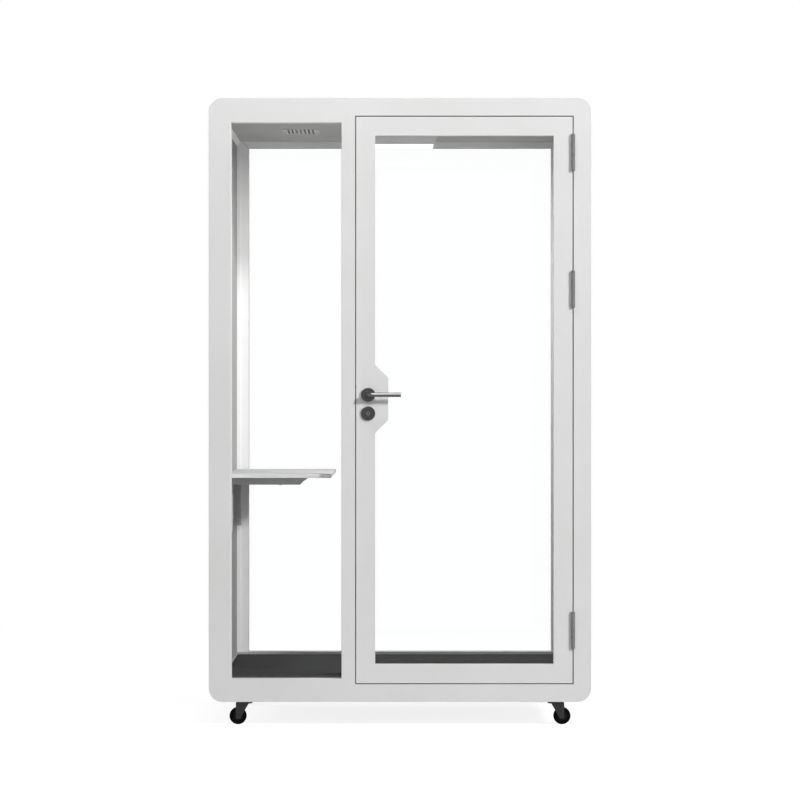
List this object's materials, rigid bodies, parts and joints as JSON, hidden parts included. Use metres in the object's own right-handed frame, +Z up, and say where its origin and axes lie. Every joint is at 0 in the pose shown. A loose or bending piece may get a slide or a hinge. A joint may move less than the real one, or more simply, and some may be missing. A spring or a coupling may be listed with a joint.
{
  "type": "acoustic office pod",
  "caption": "Free-standing acoustic booth on casters with a hinged glass door, side window, glazed back, wall desk, ceiling light and fan.",
  "frame": {"origin": "on the ground under the middle of the overall box", "axes": "+X to the right seen from the front, +Y from the front to the back, +Z up"},
  "size_m": [1.4, 1.258, 2.3],
  "materials": {
    "white_steel": "satin powder coat",
    "clear_glass": "polished laminated",
    "black_rubber": "matte",
    "pale_rubber": "matte, pale",
    "grey_steel": "matte grey powder coat",
    "grey_felt": "pressed felt",
    "mineral_wool": "fibrous",
    "dark_carpet": "needle felt",
    "plywood": "raw",
    "black_steel": "satin",
    "gunmetal": "satin dark plating",
    "satin_steel": "satin",
    "white_laminate": "fine matte laminate",
    "opal": "opal, lit",
    "black_plastic": "moulded",
    "wheel_rubber": "matte tread"
  },
  "bodies": {
    "cabin": {"front_frame": "white_steel", "rear_frame": "white_steel", "left_outer_skin": "white_steel", "right_outer_skin": "white_steel", "roof_skin": "white_steel", "base_pan": "white_steel", "left_wall_core": "mineral_wool", "right_wall_core": "mineral_wool", "roof_core": "mineral_wool", "left_wall_lining": "grey_felt", "right_wall_lining": "grey_felt", "ceiling_panel": "grey_felt", "chassis_frame": "black_steel", "floor_panel": "plywood", "carpet": "dark_carpet", "window_glass": "clear_glass", "window_gasket": "pale_rubber", "rear_glass": "clear_glass", "rear_gasket": "pale_rubber", "desk_top": "white_laminate", "desk_bracket": "grey_steel", "light_housing": "white_steel", "light_diffuser": "opal", "vent_grille": "grey_steel", "fan_housing": "black_plastic", "strike_plate": "satin_steel", "door_seal": "black_rubber", "hinge_frame_leaf_top": "satin_steel", "hinge_frame_leaf_middle": "satin_steel", "hinge_frame_leaf_bottom": "satin_steel", "caster_plate_front_left": "satin_steel", "caster_plate_front_right": "satin_steel", "caster_plate_rear_left": "satin_steel", "caster_plate_rear_right": "satin_steel"},
    "fan": {"fan_rotor": "black_plastic"},
    "door": {"door_frame": "white_steel", "door_glass": "clear_glass", "door_gasket": "pale_rubber", "hinge_door_leaf_top": "satin_steel", "hinge_door_leaf_middle": "satin_steel", "hinge_door_leaf_bottom": "satin_steel", "lock_case": "satin_steel", "outer_rose": "gunmetal", "inner_rose": "gunmetal", "outer_escutcheon": "gunmetal", "inner_escutcheon": "gunmetal", "key_cylinder": "gunmetal"},
    "lever_set": {"outer_lever": "gunmetal", "inner_lever": "gunmetal"},
    "latch": {"latch_bolt": "satin_steel"},
    "thumbturn": {"thumbturn": "gunmetal"},
    "deadbolt": {"dead_bolt": "satin_steel"},
    "swivel_front_left": {"caster_fork_front_left": "black_steel"},
    "wheel_front_left": {"caster_wheel_front_left": "wheel_rubber"},
    "swivel_front_right": {"caster_fork_front_right": "black_steel"},
    "wheel_front_right": {"caster_wheel_front_right": "wheel_rubber"},
    "swivel_rear_left": {"caster_fork_rear_left": "black_steel"},
    "wheel_rear_left": {"caster_wheel_rear_left": "wheel_rubber"},
    "swivel_rear_right": {"caster_fork_rear_right": "black_steel"},
    "wheel_rear_right": {"caster_wheel_rear_right": "wheel_rubber"}
  },
  "joints": [
    {"name": "door_swing", "type": "hinge", "parent": "cabin", "child": "door", "pos_m": [0.63325, -0.5785, 1.195], "axis": [0, 0, 1], "range_deg": [0, 180]},
    {"name": "lever_turn", "type": "hinge", "parent": "door", "child": "lever_set", "pos_m": [-0.1165, -0.571, 1.2139], "axis": [0, 1, 0], "range_deg": [0, 45], "stiffness_Nm_per_rad": 1.5, "springref_deg": -22.92},
    {"name": "latch_slide", "type": "slide", "parent": "door", "child": "latch", "axis": [1, 0, 0], "range_m": [0, 0.012]},
    {"name": "thumbturn_turn", "type": "hinge", "parent": "door", "child": "thumbturn", "pos_m": [-0.1165, -0.571, 1.1459], "axis": [0, -1, 0], "range_deg": [0, 90]},
    {"name": "deadbolt_slide", "type": "slide", "parent": "door", "child": "deadbolt", "axis": [-1, 0, 0], "range_m": [0, 0.02]},
    {"name": "fan_spin", "type": "hinge", "parent": "cabin", "child": "fan", "pos_m": [-0.376, -0.041, 2.24], "axis": [0, 0, 1], "continuous": true},
    {"name": "swivel_front_left", "type": "hinge", "parent": "cabin", "child": "swivel_front_left", "pos_m": [-0.574, -0.459, 0.08], "axis": [0, 0, 1], "continuous": true},
    {"name": "roll_front_left", "type": "hinge", "parent": "swivel_front_left", "child": "wheel_front_left", "pos_m": [-0.597, -0.459, 0.0315], "axis": [0, 1, 0], "continuous": true},
    {"name": "swivel_front_right", "type": "hinge", "parent": "cabin", "child": "swivel_front_right", "pos_m": [0.574, -0.459, 0.08], "axis": [0, 0, 1], "continuous": true},
    {"name": "roll_front_right", "type": "hinge", "parent": "swivel_front_right", "child": "wheel_front_right", "pos_m": [0.597, -0.459, 0.0315], "axis": [0, 1, 0], "continuous": true},
    {"name": "swivel_rear_left", "type": "hinge", "parent": "cabin", "child": "swivel_rear_left", "pos_m": [-0.574, 0.517, 0.08], "axis": [0, 0, 1], "continuous": true},
    {"name": "roll_rear_left", "type": "hinge", "parent": "swivel_rear_left", "child": "wheel_rear_left", "pos_m": [-0.597, 0.517, 0.0315], "axis": [0, 1, 0], "continuous": true},
    {"name": "swivel_rear_right", "type": "hinge", "parent": "cabin", "child": "swivel_rear_right", "pos_m": [0.574, 0.517, 0.08], "axis": [0, 0, 1], "continuous": true},
    {"name": "roll_rear_right", "type": "hinge", "parent": "swivel_rear_right", "child": "wheel_rear_right", "pos_m": [0.597, 0.517, 0.0315], "axis": [0, 1, 0], "continuous": true}
  ],
  "couplings": [
    {"joint": "latch_slide", "follows": "lever_turn", "m_per_rad": 0.015277},
    {"joint": "thumbturn_turn", "follows": "deadbolt_slide", "rad_per_m": 78.532}
  ]
}
